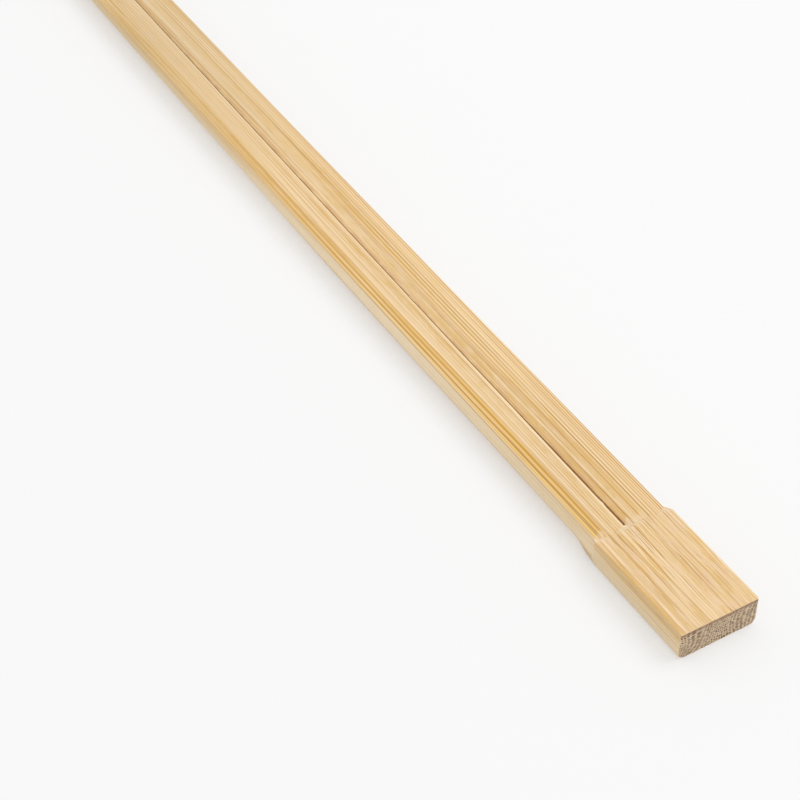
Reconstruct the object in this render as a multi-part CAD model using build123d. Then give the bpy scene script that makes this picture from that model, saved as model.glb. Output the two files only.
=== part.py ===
from build123d import *
import os

# A twin pair of bamboo chopsticks, still joined at the head and lying flat.
# All sizes are in millimetres. X runs from the head to the tips and Z is up.

length = 240.0
thickness = 4.5

# The head is the bar as it was sawn, with its long edges eased.
head_length = 18.0
head_width = 12.0
head_ease = 0.35
head_corner_round = 0.3

# Past the shoulder the bar is moulded into two sticks with a slit between them.
# Each stick is crowned: from a flat top it slopes down to the slit and, over what is left, to its outer side.
shoulder_run = 1.0
side_inset = 0.5
slit_width = 0.3
inner_slope = 2.5
crown_width = 0.85
slope_drop = 0.45
slope_fullness = 0.3

# Over the taper each stick gets smaller and rounder, and at the end the two part.
taper_length = 90.0
split_length = 24.0
tip_diameter = 2.2
tip_flat = 0.2
tip_spacing = 6.4
tip_ease = 0.3
taper_steps = 4
split_steps = 3

# The share of the way to a knee at which a curve's handle draws a quarter circle.
circle_handle = 0.5523

# Places that follow from the sizes above.
head_start = -length / 2
shoulder_start = head_start + head_length
stick_start = shoulder_start + shoulder_run
tip_finish = length / 2
tip_start = tip_finish - tip_ease
taper_start = tip_finish - taper_length
split_start = tip_finish - split_length
middle = thickness / 2
half_head = head_width / 2
inner_side = slit_width / 2
outer_side = half_head - side_inset
outer_slope = outer_side - crown_width - inner_slope - inner_side
tip_radius = tip_diameter / 2
tip_corner = tip_radius - tip_flat / 2
tip_inner = tip_spacing / 2 - tip_radius
tip_outer = tip_spacing / 2 + tip_radius


def blend(first, last, share):
    """The value or place that lies the given share of the way from first to last."""
    return first + (last - first) * share


def corner(first, knee, last, fullness):
    """A corner's curve from first to last: a straight slope at fullness 0, a quarter ellipse at 1."""
    out_handle = blend(blend(first, last, 1 / 3), blend(first, knee, circle_handle), fullness)
    in_handle = blend(blend(last, first, 1 / 3), blend(last, knee, circle_handle), fullness)
    return Bezier(first, out_handle, in_handle, last)


def section(x, left, right, bottom, top, left_run, right_run, drop, fullness):
    """A section across the bar at x: four flats, and corners of a given run in Y and drop in Z."""
    bottom_left = Vector(left + left_run, bottom)
    bottom_right = Vector(right - right_run, bottom)
    right_low = Vector(right, bottom + drop)
    right_high = Vector(right, top - drop)
    top_right = Vector(right - right_run, top)
    top_left = Vector(left + left_run, top)
    left_high = Vector(left, top - drop)
    left_low = Vector(left, bottom + drop)
    outline = [
        Line(bottom_left, bottom_right),
        corner(bottom_right, Vector(right, bottom), right_low, fullness),
        Line(right_low, right_high),
        corner(right_high, Vector(right, top), top_right, fullness),
        Line(top_right, top_left),
        corner(top_left, Vector(left, top), left_high, fullness),
        Line(left_high, left_low),
        corner(left_low, Vector(left, bottom), bottom_left, fullness),
    ]
    return Plane(origin=(x, 0, 0), x_dir=(0, 1, 0), z_dir=(1, 0, 0)) * make_face(outline)


def whole_bar(x, inset, depth):
    """The bar's own section at x, smaller by inset at each side and by depth above and below."""
    half = half_head - inset
    return section(x, -half, half, depth, thickness - depth, head_ease, head_ease, head_ease, 1)


def stick(x, drawn_in=0):
    """One stick's section at x: flat and sloped in the shank, small and round at the tip."""
    taper = max(0, x - taper_start) ** 2 / (tip_start - taper_start) ** 2
    split = max(0, x - split_start) / (tip_start - split_start)
    half = blend(middle, tip_radius, taper) - drawn_in
    left = blend(inner_side, tip_inner, split) + drawn_in
    right = blend(outer_side, tip_outer, taper) - drawn_in
    left_run = blend(inner_slope, tip_corner, taper) - drawn_in
    right_run = blend(outer_slope, tip_corner, taper) - drawn_in
    drop = blend(slope_drop, tip_corner, taper) - drawn_in
    fullness = blend(slope_fullness, 1, taper)
    return section(x, left, right, middle - half, middle + half, left_run, right_run, drop, fullness)


def stations(first, last, steps):
    """Evenly spaced places from first to last, with both ends."""
    return [blend(first, last, step / steps) for step in range(steps + 1)]


# The head, with the sawn end's two corners worn round, seen from above.
worn_outline = RectangleRounded(length, head_width, head_corner_round)
head_bar = loft([whole_bar(head_start, 0, 0), whole_bar(shoulder_start, 0, 0)], ruled=True)
head = head_bar & extrude(worn_outline, amount=thickness)

# The shoulder: the moulding cutters ran out of the bar on a slope, from its full section to the depth of
# their cut, and the first of each stick stands out of that slope with its crown level with the head.
cut = loft([whole_bar(shoulder_start, 0, 0), whole_bar(stick_start, side_inset, slope_drop)], ruled=True)
root = loft([stick(shoulder_start), stick(stick_start)], ruled=True)
head = head + cut + root + mirror(root, about=Plane.XZ)

# One stick: its straight shank, its taper, its parted end and its eased tip.
shank = loft([stick(stick_start), stick(taper_start)], ruled=True)
taper = loft([stick(x) for x in stations(taper_start, split_start, taper_steps)])
parted_end = loft([stick(x) for x in stations(split_start, tip_start, split_steps)])
tip = loft([stick(tip_start), Pos(tip_ease, 0, 0) * stick(tip_start, tip_ease)], ruled=True)
left_stick = shank + taper + parted_end + tip
right_stick = mirror(left_stick, about=Plane.XZ)

# The bar is one piece of bamboo. Its head and sticks are bodies that meet face to face at the shoulder,
# so that the slit and the gap between the tips stay open.
pair = Compound(children=[head, left_stick, right_stick])

os.makedirs("parts", exist_ok=True)
export_step(pair, "parts/chopstick_pair.step")
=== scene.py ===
import math

import bpy
import numpy as np
from mathutils import Matrix, Vector


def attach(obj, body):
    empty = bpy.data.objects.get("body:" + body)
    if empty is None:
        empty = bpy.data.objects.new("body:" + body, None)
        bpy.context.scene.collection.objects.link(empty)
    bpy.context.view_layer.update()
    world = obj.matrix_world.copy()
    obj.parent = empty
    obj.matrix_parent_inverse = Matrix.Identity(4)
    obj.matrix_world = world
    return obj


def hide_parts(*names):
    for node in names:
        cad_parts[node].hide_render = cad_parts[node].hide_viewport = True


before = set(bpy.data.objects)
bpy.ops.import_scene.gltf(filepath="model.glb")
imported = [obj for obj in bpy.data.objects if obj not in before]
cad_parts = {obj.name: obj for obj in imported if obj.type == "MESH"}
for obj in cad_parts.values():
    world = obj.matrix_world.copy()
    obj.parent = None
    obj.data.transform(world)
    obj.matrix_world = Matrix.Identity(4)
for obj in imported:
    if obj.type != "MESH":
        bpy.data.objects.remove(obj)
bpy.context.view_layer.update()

# The pair is one flat bar of bamboo, sawn square at the head and moulded from both faces into two sticks.
# A fine saw parted the sticks from the shoulder to the tips, and they are still joined at the head.
# The wood is bare: the moulding cutters left it smooth, and its fibres run the whole length of the bar.

# Sizes are in millimetres: x runs from the head to the tips, y to the left and z up.
mm = 0.001
length = 240.0
thickness = 4.5

# The head is the bar as it was sawn. Its upper edges are hardly eased, and its lower ones more.
head_length = 18.0
head_width = 12.0
head_ease = 0.15
under_ease = 0.9
head_corner_round = 0.3
sawn_edge_ease = 0.1

# From the shoulder on each stick is crowned: it slopes to its outer side and to the slit, which soon closes.
shoulder_run = 1.0
side_inset = 0.5
inner_slope = 2.5
outer_slope = 1.75
slope_drop = 0.45
slope_fullness = 0.3
slit_width = 0.3
closed_slit_width = 0.09
slit_closing_run = 26.0

# The lower corners are cut deeper than the upper ones, past a run-out at the root, and deepest further on.
under_inset_root = 0.15
under_drop_root = 0.65
under_drop = 1.2
under_drop_far = 1.8
under_run = 4.0
under_far_start = -30.0
under_far_run = 70.0

# Over the taper each stick gets smaller and rounder, and at the end the two part.
taper_length = 90.0
split_length = 24.0
tip_diameter = 2.2
tip_flat = 0.2
tip_spacing = 6.4
tip_ease = 0.3

# The share of the way to a knee at which a curve's handle draws a quarter circle.
circle_handle = 0.5523

head_start = -length / 2
shoulder_start = head_start + head_length
stick_start = shoulder_start + shoulder_run
tip_finish = length / 2
tip_start = tip_finish - tip_ease
taper_start = tip_finish - taper_length
split_start = tip_finish - split_length
middle = thickness / 2

# Columns of the grid across each part of the section, and rows down a wall.
valley_columns = 12
crown_columns = 14
slope_columns = 16
ramp_columns = 12
ease_columns = 5
wall_rows = 14


def blend(first, last, share):
    """The value that lies the given share of the way from first to last."""
    return first + (last - first) * share


def rise(value, start, run):
    """A straight rise from 0 at the start to 1 after the run, and level before and beyond."""
    return np.clip((value - start) / run, 0, 1)


def fall(value, start, run):
    """A straight fall from 1 at the start to 0 after the run, and level before and beyond."""
    return 1 - rise(value, start, run)


def hump(value, peak, spread):
    """A bell curve: 1 at the peak, and 0.37 one spread away from it."""
    return np.exp(-(((value - peak) / spread) ** 2))


def rounded_in(past, radius):
    """How far a rounded edge has drawn in at a distance past its start: the radius less the root of the
    radius squared less that distance squared."""
    past = np.clip(past, 0, radius)
    return radius - np.sqrt(radius**2 - past**2)


def at(y, z):
    """One place on the section at every station."""
    return np.stack(np.broadcast_arrays(y, z), axis=-1)


def straight(first, last, steps):
    """Points in equal steps from first to last, at every station."""
    return first[:, None] + (last - first)[:, None] * np.linspace(0, 1, steps + 1)[None, :, None]


def corner(flat, wall, face, foot, fullness, steps, reach=1.0):
    """A corner's curve from the edge of its flat, on the face, to its foot on the wall, as far as it reaches.

    It is a cubic: a straight slope at fullness 0 and a quarter ellipse at fullness 1, because its handles
    move from the slope towards the knee, where the face and the wall would meet.
    """
    first, knee, last = at(flat, face), at(wall, face), at(wall, foot)
    fullness = np.reshape(fullness, (-1, 1))
    out = first + (last - first) / 3 * (1 - fullness) + (knee - first) * circle_handle * fullness
    back = last + (first - last) / 3 * (1 - fullness) + (knee - last) * circle_handle * fullness
    t = (np.reshape(reach, (-1, 1)) * np.linspace(0, 1, steps + 1))[..., None]
    first, out, back, last = first[:, None], out[:, None], back[:, None], last[:, None]
    return (1 - t) ** 3 * first + 3 * (1 - t) ** 2 * t * out + 3 * (1 - t) * t**2 * back + t**3 * last


def reach_at_depth(share):
    """How far along a stick's slope it has dropped by a share of the whole, read from the slope's cubic."""
    t = np.linspace(0, 1, 200)
    out = (1 - slope_fullness) / 3
    back = 1 - (1 - slope_fullness) / 3 - slope_fullness * circle_handle
    return np.interp(share, 3 * (1 - t) ** 2 * t * out + 3 * (1 - t) * t**2 * back + t**3, t)


def joined(x, parts):
    """Sections at the stations x: the parts end to end, each without the point that it shares with the one
    before."""
    outline = np.concatenate([parts[0]] + [part[:, 1:] for part in parts[1:]], axis=1)
    along = np.broadcast_to(x[:, None, None], outline.shape[:2] + (1,))
    return np.concatenate([along, outline], axis=-1)


def head_and_shoulder(x):
    """Half of the bar at x, from the middle of its top round to the middle of its underside.

    The head is a rectangle with eased edges, drawn in by quarter circles at its sawn end. Over the shoulder
    the section is the greater of two: a stick with sloped corners, and a core that runs in to the cutters'
    depth.
    """
    drawn = rounded_in(head_start + sawn_edge_ease - x, sawn_edge_ease)
    worn = rounded_in(head_start + head_corner_round - x, head_corner_round)
    out = rise(x, shoulder_start, shoulder_run)
    reach = reach_at_depth(out)
    inner_wall = slit_width / 2
    inner_crown = inner_wall + inner_slope
    above = (thickness - drawn, -1, slope_drop, head_ease, side_inset)
    under = (drawn, 1, under_drop_root, under_ease, under_inset_root)
    half = []
    for face, inward, drop, full_ease, inset in (above, under):
        outer_wall = head_width / 2 - inset
        outer_crown = outer_wall - outer_slope
        half_width = outer_wall + inset * (1 - out) - worn
        ease = full_ease * (1 - out)
        ramp = face + inward * drop * out
        foot = face + inward * drop
        inner = corner(inner_crown, inner_wall, face, foot, slope_fullness, slope_columns, reach)
        outer = corner(outer_crown, outer_wall, face, foot, slope_fullness, slope_columns, reach)
        half.append([
            straight(at(0, ramp), inner[:, -1], valley_columns),
            inner[:, ::-1],
            straight(at(inner_crown, face), at(outer_crown, face), crown_columns),
            outer,
            straight(outer[:, -1], at(half_width - ease, ramp), ramp_columns),
            corner(half_width - ease, half_width, ramp, ramp + inward * ease, 1.0, ease_columns),
        ])
    side = straight(half[0][-1][:, -1], half[1][-1][:, -1], wall_rows)
    underside = [part[:, ::-1] for part in half[1][::-1]]
    return joined(x, half[0] + [side] + underside)


def stick(x):
    """One stick at x: four flats joined by sloped corners, from the top of its slit wall all the way round.

    Its size follows the square of the way along the taper, its inner side draws away from the slit in
    proportion to the way along the parted end, and its tip is drawn in by a quarter circle. Its lower corners
    run out by a smooth step at the root.
    """
    taper = rise(x, taper_start, tip_start - taper_start) ** 2
    split = rise(x, split_start, tip_start - split_start)
    closing = rise(x, stick_start, slit_closing_run) ** 2
    far = rise(x, under_far_start, under_far_run)
    root = fall(x, stick_start, under_run)
    root = root * root * (3 - 2 * root)
    drawn = rounded_in(x - tip_start, tip_ease)
    tip_radius = tip_diameter / 2
    tip_corner = tip_radius - tip_flat / 2
    half = blend(middle, tip_radius, taper) - drawn
    slit = blend(slit_width, closed_slit_width, closing) / 2
    inner = blend(slit, tip_spacing / 2 - tip_radius, split) + drawn
    outer = blend(head_width / 2 - side_inset, tip_spacing / 2 + tip_radius, taper) - drawn
    outer_under = outer + (side_inset - under_inset_root) * root
    inner_run = blend(inner_slope, tip_corner, taper) - drawn
    outer_run = blend(outer_slope, tip_corner, taper) - drawn
    upper_drop = blend(slope_drop, tip_corner, taper) - drawn
    lower_drop = blend(under_drop, under_drop_far, far) + (under_drop_root - under_drop) * root
    lower_drop = blend(lower_drop, tip_corner, taper) - drawn
    fullness = blend(slope_fullness, 1, taper)
    above = (middle + half, -1, upper_drop, outer)
    under = (middle - half, 1, lower_drop, outer_under)
    faces = []
    for face, inward, drop, wall in (above, under):
        foot = face + inward * drop
        inner_crown = inner + inner_run
        outer_crown = wall - outer_run
        inner_corner = corner(inner_crown, inner, face, foot, fullness, slope_columns)
        outer_corner = corner(outer_crown, wall, face, foot, fullness, slope_columns)
        crown = straight(at(inner_crown, face), at(outer_crown, face), crown_columns)
        faces.append([inner_corner[:, ::-1], crown, outer_corner])
    outer_side = straight(faces[0][2][:, -1], faces[1][2][:, -1], wall_rows)
    slit_side = straight(faces[1][0][:, 0], faces[0][0][:, 0], wall_rows)
    underside = [part[:, ::-1] for part in faces[1][::-1]]
    return joined(x, faces[0] + [outer_side] + underside + [slit_side])


# The stations along the bar stand close together at the sawn end, the shoulder, the tapers and the tips.
# The last number in each line is how many there are.
quarter = np.pi / 2
dense_run = 20.0
head_stations = np.concatenate([
    head_start + head_corner_round * (1 - np.cos(np.linspace(0, quarter, 7))),
    np.linspace(head_start + head_corner_round, shoulder_start, 30)[1:],
    shoulder_start + shoulder_run * np.linspace(0, 1, 15)[1:],
])
stick_stations = np.concatenate([
    np.linspace(stick_start, stick_start + dense_run, 60),
    np.linspace(stick_start + dense_run, taper_start, 110)[1:],
    np.linspace(taper_start, split_start, 80)[1:],
    np.linspace(split_start, tip_start, 44)[1:],
    tip_start + tip_ease * np.sin(np.linspace(0, quarter, 6))[1:],
])

# The left half's surfaces: the head with its shoulder, the stick round its four sides, the sawn end, the end
# of the slit in the head, and the tip.
strip = head_and_shoulder(head_stations)
ring = stick(stick_stations)
strip_top = valley_columns + 2 * slope_columns + crown_columns + ramp_columns + ease_columns
ring_top = 2 * slope_columns + crown_columns
sawn_end = straight(strip[0, : strip_top + 1], strip[0, : -strip_top - 2 : -1], wall_rows)
slit_end = np.repeat(ring[:1, : -wall_rows - 2 : -1], valley_columns + 1, axis=0)
slit_end[..., 1] *= np.linspace(0, 1, valley_columns + 1)[:, None]
tip_end = straight(ring[-1, : ring_top + 1], ring[-1, ring_top + wall_rows : -wall_rows][::-1], wall_rows)

# On the flat sheet, one unit square, each half has a long strip, and the ends lie in a row above both.
sheet_margin = 0.01
sheet_length = 0.98
sheet_per_mm_around = 0.0245
sheet_per_mm_of_end = 0.0118
stick_gap = np.array([0.004, 0])
end_row = 0.94
slit_end_apart = 0.1
tip_end_apart = 0.12

# For each half: its hand, where its strip starts on the sheet, and where its ends start in their row.
left_half = (1, 0.01, 0.1)
right_half = (-1, 0.48, 0.3)

places, flat_places, triangles = [], [], []


def add_surface(points, flat, turned):
    """Adds a grid of points to the bar: two triangles for each four neighbours, turned over where told."""
    first = sum(len(block) for block in places)
    index = first + np.arange(points.shape[0] * points.shape[1]).reshape(points.shape[:2])
    a, b, c, d = index[:-1, :-1], index[1:, :-1], index[1:, 1:], index[:-1, 1:]
    faces = np.stack([a, b, c, a, c, d], axis=-1).reshape(-1, 3)
    places.append(points.reshape(-1, 3))
    flat_places.append(flat.reshape(-1, 2))
    triangles.append(faces[:, ::-1] if turned else faces)


def unrolled(points, bottom):
    """Where a strip lies on the flat sheet: along by its x, and up by the distance round it."""
    step = np.linalg.norm(np.diff(points[..., 1:], axis=1), axis=-1)
    around = np.concatenate([np.zeros((len(points), 1)), np.cumsum(step, axis=1)], axis=1)
    along = sheet_margin + sheet_length * (points[..., 0] - head_start) / length
    return np.stack([along, bottom + sheet_per_mm_around * around], axis=-1)


def laid_flat(points, left):
    """Where an end lies on the flat sheet: its y and z, as seen along the bar."""
    aside = left + sheet_per_mm_of_end * np.abs(points[..., 1])
    return np.stack([aside, end_row + sheet_per_mm_of_end * points[..., 2]], axis=-1)


for hand, strip_bottom, ends_left in (left_half, right_half):
    mirror = np.array([1, hand, 1])
    mirrored = hand < 0
    add_surface(strip * mirror, unrolled(strip, strip_bottom), mirrored)
    add_surface(ring * mirror, unrolled(ring, strip_bottom) + stick_gap, mirrored)
    add_surface(sawn_end * mirror, laid_flat(sawn_end, ends_left), mirrored)
    add_surface(slit_end * mirror, laid_flat(slit_end, ends_left + slit_end_apart), not mirrored)
    add_surface(tip_end * mirror, laid_flat(tip_end, ends_left + tip_end_apart), not mirrored)

places = np.concatenate(places)
flat_places = np.concatenate(flat_places)
triangles = np.concatenate(triangles)

# The surfaces share their edges, so points in the same 2000th of a millimetre become one, and triangles of
# no area go.
same_per_mm = 2000
cells = np.round(places * same_per_mm).astype(np.int64)
_, kept, merged = np.unique(cells, axis=0, return_index=True, return_inverse=True)
points = places[kept]
faces = merged.reshape(-1)[triangles]
whole = (faces[:, 0] != faces[:, 1]) & (faces[:, 1] != faces[:, 2]) & (faces[:, 2] != faces[:, 0])
faces = faces[whole]
corners_flat = flat_places[triangles[whole]]

bar_mesh = bpy.data.meshes.new("chopstick_bar")
bar_mesh.from_pydata(points * mm, [], faces)
bar_mesh.uv_layers.new(name="OFBake").data.foreach_set("uv", corners_flat.astype(np.float32).ravel())
normals = np.empty(points.size, np.float32)
bar_mesh.vertices.foreach_get("normal", normals)
normals = normals.reshape(-1, 3).astype(float)
along, across, up = points.T
facing_x, facing_y, facing_z = normals.T


def fibre_noise(points, cell, seed):
    """Smooth random values from 0 to 1: one at each corner of a lattice, with smooth steps between them."""
    place = (points - np.array([head_start, -head_width, -thickness])) / np.array(cell)
    low = np.floor(place).astype(int)
    share = place - low
    share = share * share * (3 - 2 * share)
    lattice = np.random.default_rng(seed).random(low.max(axis=0) + 2)
    total = np.zeros(len(points))
    for side in np.ndindex(2, 2, 2):
        weight = np.prod(np.where(side, share, 1 - share), axis=1)
        total += weight * lattice[tuple((low + side).T)]
    return total


# Bare bamboo is never quite flat: there are soft hollows between the fibres, broad and narrow, and pores in
# the sawn end. The noise's cells are long along the bar and narrow across it.
broad_depth, broad_cell = 0.03, (45, 1.4, 1.4)
narrow_depth, narrow_cell = 0.025, (30, 0.4, 0.4)
pore_depth, pore_cell = 0.08, (60, 0.35, 0.35)
hollows = broad_depth * fibre_noise(points, broad_cell, 3)
hollows += narrow_depth * fibre_noise(points, narrow_cell, 4)
pores = pore_depth * fibre_noise(points, pore_cell, 5) ** 2
sawn = rise(-facing_x, 0.5, 0.5)
relief = points - normals * (hollows * (1 - sawn) + pores * sawn)[:, None]

# The cutters tore the fibres where they ran out, so the shoulder is ragged.
tear_length = 0.5
tear_cell = (60, 0.4, 0.4)
tear_reach = 1.2
from_tear = np.abs(along - shoulder_start - shoulder_run / 2)
ragged = fibre_noise(points, tear_cell, 6) - 0.5
relief[:, 0] += tear_length * ragged * fall(from_tear, 0, tear_reach)

# The saw left one splinter, which leans from the left stick's upper edge into the slit.
splinter_place = -96.4
splinter_half_length = 0.5
splinter_bottom = 3.3
splinter_lean = 0.13
splinter_width = 0.6
splinter = hump(along, splinter_place, splinter_half_length) * rise(up, splinter_bottom, 0.5) * (across > 0)
relief[:, 1] -= splinter_lean * splinter * fall(across, 0, splinter_width)

# The saw ran a little to the left of the middle at the head and came back further on.
saw_offset = 0.7
saw_return_start, saw_return_run = -65, 115
saw_reach = 3.8
off_middle = saw_offset * fall(along, saw_return_start, saw_return_run)
relief[:, 1] += off_middle * np.clip(1 - (across / saw_reach) ** 2, 0, 1)

# The bar bows a little to the left before its middle, and bends a little to the right from there on.
bow_height, bow_place, bow_spread = 0.12, -45, 40
bend_height, bend_start, bend_run, bend_most = 0.25, -10, 55, 1.4
relief[:, 1] += bow_height * hump(along, bow_place, bow_spread)
relief[:, 1] -= bend_height * np.clip((along - bend_start) / bend_run, 0, bend_most) ** 2
bar_mesh.vertices.foreach_set("co", (relief * mm).astype(np.float32).ravel())


def add_mark(name, values):
    """Keeps one number for each point of the bar, for its material to read."""
    bar_mesh.attributes.new(name, "FLOAT", "POINT").data.foreach_set("value", values.astype(np.float32))


# Places across the bar that the marks keep to: a stick's crown, its outer side, and the head's upper edge.
crown_start = slit_width / 2 + inner_slope
outer_side = head_width / 2 - side_inset
crown_finish = outer_side - outer_slope
head_edge = head_width / 2 + thickness

# Where a point lies on the bar, each from 0 to 1, for the marks that follow.
on_left = across > 0
on_right = across < 0
from_slit = np.abs(across)
back_on_head = fall(along, shoulder_start - 5, 5)
moulded = rise(along, shoulder_start, 0.5)
further_on = rise(along, -90, 80)
second_half = rise(along, -40, 40)
tapered = rise(along, taper_start, taper_length)
blunted = rise(along, tip_finish - 5, 4)
plainer = 1 - 0.8 * tapered
on_face = np.abs(facing_z) > 0.3
left_slope = rise(facing_y, 0.03, 0.1) * on_face
right_slope = rise(-facing_y, 0.03, 0.1) * on_face
sides = rise(np.abs(facing_y), 0.6, 0.3) * (from_slit > 1.5) * plainer

# The sawn head and, less, the tips show end grain. The head's fibres waver and are patchy, while the sticks,
# moulded from straight wood, are even.
add_mark("end_grain", rise(np.abs(facing_x), 1.6 / 3, 1 / 3) * np.where(facing_x < 0, 1.0, 0.7))
add_mark("wavy", 0.5 - 0.44 * moulded)
add_mark("patchy", 1 - 0.75 * moulded)

# The sides are pale on the sticks and darker under the head's upper edge. In the bar's second half the left
# one is golden above with painted shade, like the slope over it.
shaded_side_top = second_half * rise(up, 2.2, 1.2) * on_left * sides
paler = 0.5 + 0.5 * rise(along, -95, 40) - 0.4 * second_half
add_mark("side", sides - 0.6 * shaded_side_top)
add_mark("stick_side", sides * moulded)
add_mark("pale_side", sides * moulded * paler)
add_mark("under_edge", sides * back_on_head * hump(up, thickness - 1, 0.4))

# The slopes that face left, away from the lamp, are golden with painted shade: all of the left stick's outer
# one, and a band of those beside the slit. Further on this fades, and all the wood is a little golden in
# tone.
band = 0.1 + 0.5 * hump(from_slit, crown_start - 0.1, 0.4)
bands = np.where(from_slit < crown_start + 0.45, band, 1.0)
shaded_slopes = np.clip(moulded * bands * (left_slope + 0.12 * right_slope), 0, 1)
shaded_slopes = shaded_slopes * (1 - 0.6 * further_on) * plainer
tinged = 0.12 * further_on * plainer
add_mark("gold_tone_and_shade", np.maximum(shaded_slopes + tinged, 0.6 * shaded_side_top))

# Two strips are paler: the left stick from its slit to its crown, with painted sheen as if lit by the lamp,
# and one on the right stick's inner slope.
left_sheen_strip = fall(from_slit, crown_finish - 0.15, 0.3) * on_left * moulded
right_strip = hump(from_slit, 1.35, 0.35) * on_right * moulded
add_mark("paled_and_sheened", np.maximum(right_strip, 0.8 * left_sheen_strip * (1 - 0.6 * further_on)))

# The head's long edges are tanned, the left one most. By the slit the right stick carries painted shade, and
# the left stick's edges, at the slit and under its outer slope, carry painted highlights.
tanned = np.where(on_left, 1.0, 0.4)
slit_highlight = fall(from_slit, 0.29, 0.35) * (1 - 0.6 * further_on)
slope_highlight = 0.6 * hump(from_slit, outer_side - 0.1, 0.12) * (facing_z > 0.3) * (1 - further_on)
add_mark("long_edge", rise(from_slit + up, head_edge - 1.05, 0.5) * tanned * back_on_head)
# Painted shade on the right stick beside the slit.
add_mark("slit_shade", fall(from_slit, 0.1, 0.7) * on_right * moulded)
add_mark("highlight_rim", np.maximum(slit_highlight, slope_highlight) * on_left * moulded)

# The torn ends of the fibres at the shoulder, the frayed starts of the slopes past it, and the splinter.
frayed_cell = (60, 0.3, 0.3)
frayed_run = 0.2 + 1.8 * np.clip(fibre_noise(points, frayed_cell, 7) - 0.35, 0, 1)
frayed = fall(along, stick_start + frayed_run - 0.3, 0.3) * moulded * left_slope
cut_ends = rise(facing_x, 0.12, 0.2) * fall(from_tear, 0.5, 1)
loose = np.maximum(cut_ends, 0.8 * frayed) * rise(facing_z, 0.3, 0.5)
add_mark("torn", np.maximum(loose, splinter * fall(across, 0, 0.5)))

# Rows of fine lines: clear on the right stick's crown and on the slopes in painted shade, and faint on the
# rest.
head_rows = 0.12 + 0.4 * (1 - back_on_head) * rise(-across, 1, 1)
stick_rows = np.where(on_right, 0.9 * rise(from_slit, crown_start - 0.75, 0.9), 0.25)
rows = blend(head_rows, stick_rows, moulded)
rows = np.maximum(rows, 0.85 * shaded_slopes) * (1 - 0.3 * further_on)
add_mark("rowed", rows * (1 - 0.7 * tapered) + 0.45 * blunted)

# The fibres stand out less on the sides, the left strip of painted sheen, the rows of lines and the taper.
# From about the middle on, the wood is a little duller.
quiet = (1 - 0.45 * sides) * (1 - 0.4 * left_sheen_strip) * (1 - 0.4 * rows) * (1 - 0.45 * tapered)
add_mark("contrast", 1.1 * quiet)
add_mark("duller", 0.3 * rise(along, -20, 50) * plainer)

sharp_edge = math.radians(28)
bar_mesh.polygons.foreach_set("use_smooth", np.ones(len(faces), bool))
bar_mesh.set_sharp_from_angle(angle=sharp_edge)
bar_mesh.update()
bar = bpy.data.objects.new("chopstick_bar", bar_mesh)
bpy.context.scene.collection.objects.link(bar)


def colour(red, green, blue):
    """A colour as it looks on a screen, 0 to 255, as the light that it reflects, by the screen's own curve:
    a straight line near black, and a power of 2.4 above it."""
    seen = np.array([red, green, blue]) / 255
    return tuple(np.where(seen <= 0.04045, seen / 12.92, ((seen + 0.055) / 1.055) ** 2.4)) + (1.0,)


def add(tree, kind, inputs=None, **settings):
    """Adds a node with these settings. An input that is another node's socket is linked, any other is set."""
    made = tree.nodes.new(kind)
    for name, value in settings.items():
        setattr(made, name, value)
    for key, value in (inputs or {}).items():
        if isinstance(value, bpy.types.NodeSocket):
            tree.links.new(value, made.inputs[key])
        else:
            made.inputs[key].default_value = value
    return made


bamboo = bpy.data.materials.new("bare_bamboo")
bamboo.use_nodes = True
wood = bamboo.node_tree
wood.nodes.clear()


def mark(name):
    """A number kept on the bar's points."""
    return add(wood, "ShaderNodeAttribute", attribute_name=name).outputs["Fac"]


def mixed(share, first, second):
    """The first colour turned into the second by the share."""
    inputs = {0: share, 6: first, 7: second}
    return add(wood, "ShaderNodeMix", inputs, data_type="RGBA").outputs[2]


def ranged(value, low, high, to_low=0.0, to_high=1.0):
    """A value carried by a smooth step from the range low to high to another range."""
    inputs = {"Value": value, "From Min": low, "From Max": high, "To Min": to_low, "To Max": to_high}
    return add(wood, "ShaderNodeMapRange", inputs, interpolation_type="SMOOTHSTEP").outputs[0]


def sums(how, first, second):
    """Two values put together by one operation."""
    return add(wood, "ShaderNodeMath", {0: first, 1: second}, operation=how).outputs[0]


def times(first, second):
    """The product of two values, such as a mark and a pattern."""
    return sums("MULTIPLY", first, second)


def vectors(how, inputs, output="Vector"):
    """Places put together by one operation."""
    return add(wood, "ShaderNodeVectorMath", inputs, operation=how).outputs[output]


def moved(place, cloud, reach):
    """The place moved by a cloud's three values, each less one half and times the reach."""
    either_way = vectors("SUBTRACT", {0: cloud, 1: (0.5, 0.5, 0.5)})
    return vectors("MULTIPLY_ADD", {0: either_way, 1: reach, 2: place})


def stretched(place, along, across):
    """The place in millimetres, drawn out along the bar: patterns per millimetre along and across it."""
    return add(wood, "ShaderNodeMapping", {"Vector": place, "Scale": (along, across, across)}).outputs[0]


def noise(place, along, across, detail, output="Fac"):
    """Cloudy noise drawn out along the bar, from 0 to 1: one value, or three as a colour."""
    inputs = {"Vector": stretched(place, along, across), "Scale": 1.0, "Detail": detail, "Roughness": 0.6}
    return add(wood, "ShaderNodeTexNoise", inputs).outputs[output]


def strands(place, along, across, scatter):
    """Strands drawn out along the bar: the distance from each strand's middle, and a number of its own."""
    inputs = {"Vector": stretched(place, along, across), "Scale": 1.0, "Randomness": scatter}
    made = add(wood, "ShaderNodeTexVoronoi", inputs)
    own = add(wood, "ShaderNodeSeparateColor", {0: made.outputs["Color"]}).outputs[0]
    return made.outputs["Distance"], own


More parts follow.
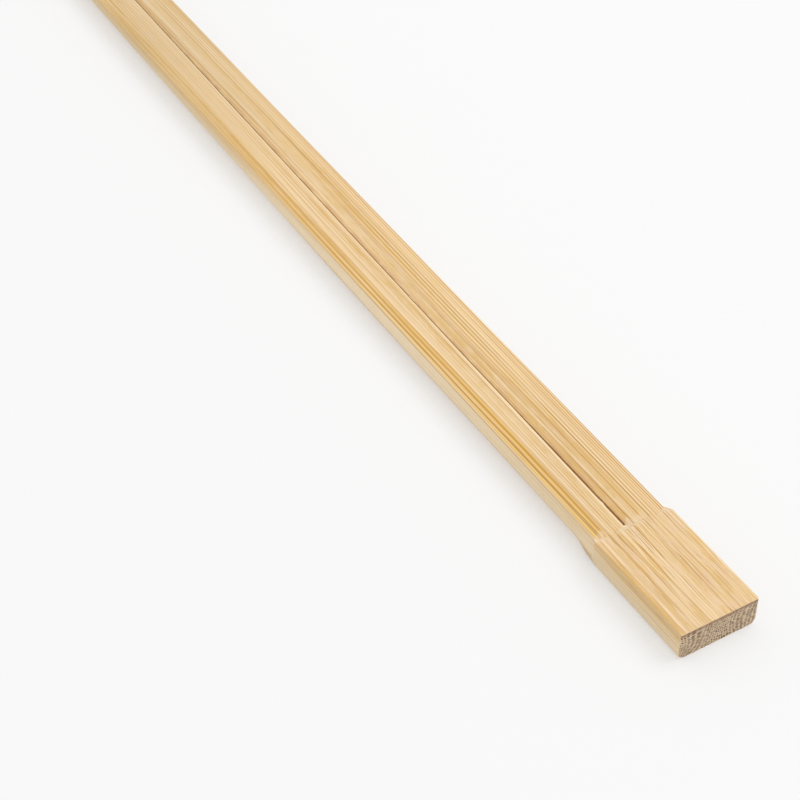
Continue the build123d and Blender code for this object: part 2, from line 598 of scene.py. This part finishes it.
def rows_of_lines(place, per_mm):
    """Lines side by side along the bar: how far each place is from its line, 0 to 1, and the line's number.

    A place's y, and its z by 0.6, times the lines per millimetre, is rounded to the nearest line.
    """
    across_grain = vectors("DOT_PRODUCT", {0: place, 1: (0, per_mm, 0.6 * per_mm)}, "Value")
    apart = sums("PINGPONG", across_grain, 0.5)
    order = add(wood, "ShaderNodeMath", {0: across_grain}, operation="ROUND").outputs[0]
    own = add(wood, "ShaderNodeTexWhiteNoise", {"W": order}, noise_dimensions="1D").outputs["Value"]
    return times(apart, 2.0), own


# The fibres drift a little to and fro along the bar, and on the head they waver as well.
seen_place = add(wood, "ShaderNodeTexCoord").outputs["Object"]
in_mm = add(wood, "ShaderNodeMapping", {"Vector": seen_place, "Scale": (1000, 1000, 1000)}).outputs[0]
drifting = moved(in_mm, noise(in_mm, 0.012, 0.2, 0.0, "Color"), (0, 0.9, 0.9))
grain = moved(drifting, noise(in_mm, 0.13, 0.7, 1.0, "Color"), mark("wavy"))
height = add(wood, "ShaderNodeSeparateXYZ", {0: in_mm}).outputs["Z"]

# The patterns of bare bamboo: broad and fine streaks, patches, mottling, flecks, bundles of fibres, single
# threads, and the rows of lines.
broad = noise(grain, 0.008, 0.5, 2.0)
fine = noise(grain, 0.012, 4.5, 3.0)
patch = noise(grain, 0.09, 0.55, 2.0)
mottle = noise(in_mm, 0.3, 1.5, 3.0)
fleck = noise(in_mm, 0.35, 7.0, 2.0)
bundle, bundle_kind = strands(grain, 0.007, 1.5, 0.95)
thread, thread_kind = strands(grain, 0.012, 2.7, 0.9)
line, line_kind = rows_of_lines(grain, 2.0)

# The upper and lower faces, from cream to honey, with amber patches, a blush, slopes golden with painted
# shade and ivory strips, one of them a painted sheen.
cream = colour(240, 208, 160)
honey = colour(224, 185, 118)
amber = colour(225, 179, 102)
blush = colour(238, 206, 172)
shade_and_tone_gold = colour(229, 181, 90)
sheen_and_pale_ivory = colour(240, 213, 170)
streaky = mixed(ranged(broad, 0.44, 0.62), cream, honey)
patched = mixed(times(mark("patchy"), ranged(patch, 0.5, 0.66, 0.0, 0.6)), streaky, amber)
blushed = mixed(ranged(mottle, 0.46, 0.64, 0.0, 0.6), patched, blush)
# Painted shade: the slopes that face left turn golden, as if less light and sheen reached them.
gilt_and_shaded = mixed(mark("gold_tone_and_shade"), blushed, shade_and_tone_gold)
# Painted sheen: the left stick from its slit to its crown is paler, as if lit by the lamp.
paled_and_sheened = mixed(times(mark("paled_and_sheened"), ranged(mottle, 0.3, 0.6, 0.2, 0.75)), gilt_and_shaded, sheen_and_pale_ivory)

# The rows of lines: brown furrows, each as deep as its own number says, and bright ridges between them.
furrow_brown = colour(172, 114, 44)
ridge_gold = colour(254, 222, 146)
edge_tan = colour(216, 173, 104)
rowed = mark("rowed")
furrow = times(ranged(line, 0.6, 0.2), ranged(line_kind, 0.1, 0.9, 0.45, 1.0))
ridge = ranged(line, 0.62, 0.9, 0.0, 0.7)
furrowed = mixed(times(rowed, furrow), paled_and_sheened, furrow_brown)
ridged = mixed(times(rowed, ridge), furrowed, ridge_gold)
edged = mixed(times(mark("long_edge"), ranged(broad, 0.3, 0.7, 0.6, 0.9)), ridged, edge_tan)

# The sides: straw above and paler below, golden under the head's edge, darker right under the sticks' slopes,
# and greyer at the foot with painted shade, which is higher on the sticks.
low_straw = colour(234, 217, 186)
high_straw = colour(224, 196, 150)
pale_straw = colour(249, 231, 198)
edge_gold = colour(208, 171, 110)
slope_shade = colour(200, 164, 116)
foot_shade_grey = colour(190, 170, 138)
stick_side = mark("stick_side")
wall = mixed(ranged(height, 0.6, 3.9), low_straw, high_straw)
pale_wall = mixed(mark("pale_side"), wall, pale_straw)
golden_wall = mixed(times(mark("under_edge"), 0.8), pale_wall, edge_gold)
shaded_wall = mixed(times(stick_side, ranged(height, 3.55, 3.85, 0.0, 0.7)), golden_wall, slope_shade)
above_foot = sums("SUBTRACT", height, times(stick_side, 0.8))
# Painted shade: the wall is greyer at its foot, by the table.
foot_shaded_wall = mixed(ranged(above_foot, 0.9, 0.1, 0.0, 0.75), shaded_wall, foot_shade_grey)
sided = mixed(times(mark("side"), 0.85), edged, foot_shaded_wall)

# The fibres: brown bundles and threads, each as dark as its own number says, glints, shades and flecks.
bundle_brown = colour(184, 128, 66)
thread_brown = colour(190, 140, 78)
glint_cream = colour(253, 226, 184)
shade_tan = colour(196, 148, 86)
fleck_brown = colour(184, 136, 84)
thick = times(ranged(bundle, 0.26, 0.1), ranged(bundle_kind, 0.15, 0.9, 0.0, 0.95))
thin = times(ranged(thread, 0.3, 0.12), ranged(thread_kind, 0.25, 0.9, 0.0, 0.95))
contrast = mark("contrast")
fibred = sided
for pattern, tint in (
    (thick, bundle_brown),
    (thin, thread_brown),
    (ranged(fine, 0.51, 0.66, 0.0, 0.75), glint_cream),
    (ranged(fine, 0.46, 0.31, 0.0, 0.7), shade_tan),
    (ranged(fleck, 0.6, 0.74, 0.0, 0.35), fleck_brown),
):
    fibred = mixed(times(pattern, contrast), fibred, tint)

# Painted highlights on the light rims, painted shade on the slit's right edge, torn fibres that the cutters
# left, and duller wood far on.
highlight_cream = colour(255, 233, 192)
slit_shade_tan = colour(196, 144, 84)
torn_cream = colour(242, 217, 181)
dull_straw = colour(191, 169, 128)
# Painted highlights along the left stick's edges, at the slit and under its outer slope.
highlighted = mixed(times(mark("highlight_rim"), 0.85), fibred, highlight_cream)
# Painted shade: the right stick darker beside the slit, as in the slit's shadow.
slit_shaded = mixed(times(mark("slit_shade"), ranged(mottle, 0.35, 0.62, 0.2, 0.75)), highlighted, slit_shade_tan)
torn = mixed(times(mark("torn"), ranged(fleck, 0.35, 0.6, 0.3, 0.8)), slit_shaded, torn_cream)
duller = mixed(mark("duller"), torn, dull_straw)

# The sawn end: rows of brown pores that swirl a little, shaded in streaks, with a dark crust near the top,
# where the bamboo's skin was, and a worn light edge over it.
pore_brown = colour(108, 77, 52)
sawn_straw = colour(217, 193, 160)
sawn_shade = colour(166, 140, 108)
crust_brown = colour(136, 104, 76)
worn_tan = colour(226, 190, 146)
swirled = moved(in_mm, noise(in_mm, 0.0, 0.19, 0.0, "Color"), (0, 4.5, 4.5))
in_rows = add(wood, "ShaderNodeMapping", {"Vector": swirled, "Scale": (0.0, 2.1, 2.7)}).outputs[0]
pore_inputs = {"Vector": in_rows, "Scale": 1.0, "Randomness": 0.35}
pore = add(wood, "ShaderNodeTexVoronoi", pore_inputs).outputs["Distance"]
dots = mixed(ranged(pore, 0.24, 0.52), pore_brown, sawn_straw)
shaded = mixed(ranged(broad, 0.35, 0.6, 0.0, 0.3), dots, sawn_shade)
crusted = mixed(ranged(height, 3.7, 4.1, 0.0, 0.6), shaded, crust_brown)
worn_end = mixed(ranged(height, 4.36, 4.42), crusted, worn_tan)
surface = mixed(mark("end_grain"), duller, worn_end)

# Fine streaks stand up, and fibres and furrows lie deeper, by hundredths of a millimetre. Where the streaks
# are light the wood has more of a sheen.
raised = times(fine, 0.7)
sunk = times(sums("ADD", sums("ADD", thick, thin), furrow), -0.4)
bump_inputs = {"Height": sums("ADD", raised, sunk), "Strength": 0.7, "Distance": 0.00006}
bump = add(wood, "ShaderNodeBump", bump_inputs).outputs[0]
satin = ranged(fine, 0.3, 0.7, 0.62, 0.46)
finish = add(wood, "ShaderNodeBsdfPrincipled", {
    "Base Color": surface, "Roughness": satin, "Normal": bump, "Specular IOR Level": 0.35,
})
add(wood, "ShaderNodeOutputMaterial", {"Surface": finish.outputs[0]})
bar_mesh.materials.append(bamboo)

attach(bar, "root")
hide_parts("chopstick_pair")

# The table is a plain white top, painted matt. The pair lies flat on it and shades it only softly, because
# the white paint scatters light from all round: part of what the camera sees of it is its own even white.
table_half = 3.0
table_height = -0.00003
matt_white = (0.94, 0.94, 0.94, 1)
even_white = (0.955, 0.955, 0.955, 1)
even_part = 0.45
table_corners = np.array([(-1, -1, 0), (1, -1, 0), (1, 1, 0), (-1, 1, 0)])
table_mesh = bpy.data.meshes.new("table_top")
table_mesh.from_pydata(table_corners * table_half + np.array([0, 0, table_height]), [], [(0, 1, 2, 3)])
table = bpy.data.objects.new("table_top", table_mesh)
bpy.context.scene.collection.objects.link(table)
white_top = bpy.data.materials.new("white_table")
white_top.use_nodes = True
paint = white_top.node_tree
paint.nodes.clear()


def seen_directly(tree):
    """1 for a ray that comes from the camera, from a mirror or through glass, and 0 for light."""
    ray = add(tree, "ShaderNodeLightPath").outputs
    total = ray["Is Camera Ray"]
    for kind in ("Is Glossy Ray", "Is Transmission Ray"):
        total = add(tree, "ShaderNodeMath", {0: total, 1: ray[kind]}, operation="ADD").outputs[0]
    return total


matt = add(paint, "ShaderNodeBsdfDiffuse", {"Color": matt_white})
even = add(paint, "ShaderNodeEmission", {"Color": even_white, "Strength": 1.0})
even_share = add(paint, "ShaderNodeMath", {0: seen_directly(paint), 1: even_part}, operation="MULTIPLY")
coat = add(paint, "ShaderNodeMixShader", {0: even_share.outputs[0], 1: matt.outputs[0], 2: even.outputs[0]})
add(paint, "ShaderNodeOutputMaterial", {"Surface": coat.outputs[0]})
table_mesh.materials.append(white_top)

# The light is soft and even, from a white room and one large lamp behind and to the right of the pair.
# What is seen of the room itself is as white as the table.
room_light = 0.8
lamp_width = 0.8
lamp_energy = 3.4
lamp_place = Vector((-0.15, -0.55, 0.95))
lamp_aim = Vector((-0.05, 0, 0))
room = bpy.data.worlds.new("white_room")
room.use_nodes = True
air = room.node_tree
air.nodes.clear()
lit = add(air, "ShaderNodeBackground", {"Color": (1, 1, 1, 1), "Strength": room_light})
shown = add(air, "ShaderNodeBackground", {"Color": even_white, "Strength": 1.0})
both = add(air, "ShaderNodeMixShader", {0: seen_directly(air), 1: lit.outputs[0], 2: shown.outputs[0]})
add(air, "ShaderNodeOutputWorld", {"Surface": both.outputs[0]})
bpy.context.scene.world = room

lamp_data = bpy.data.lights.new("large_lamp", "AREA")
lamp_data.shape = "DISK"
lamp_data.size = lamp_width
lamp_data.energy = lamp_energy
lamp = bpy.data.objects.new("large_lamp", lamp_data)
lamp.location = lamp_place
lamp.rotation_euler = (lamp_aim - lamp_place).to_track_quat("-Z", "Y").to_euler()
bpy.context.scene.collection.objects.link(lamp)

# The camera stands over the head's left corner and looks along the pair, down on it and to the right.
camera_place = (-0.2381, 0.1155, 0.18878)
camera_data = bpy.data.cameras.new("camera")
camera_data.lens = 90.022
camera_data.sensor_width = 36.0
camera_data.clip_start = 0.01
camera = bpy.data.objects.new("camera", camera_data)
forward = Vector((0.6315, -0.37579, -0.67822)).normalized()
upward = Vector((0.58045, -0.35083, 0.73485))
right = forward.cross(upward).normalized()
upward = right.cross(forward)
turn = Matrix((right, upward, -forward)).transposed().to_4x4()
camera.matrix_world = Matrix.Translation(camera_place) @ turn
bpy.context.scene.collection.objects.link(camera)
bpy.context.scene.camera = camera
bpy.context.scene.view_settings.view_transform = "Standard"
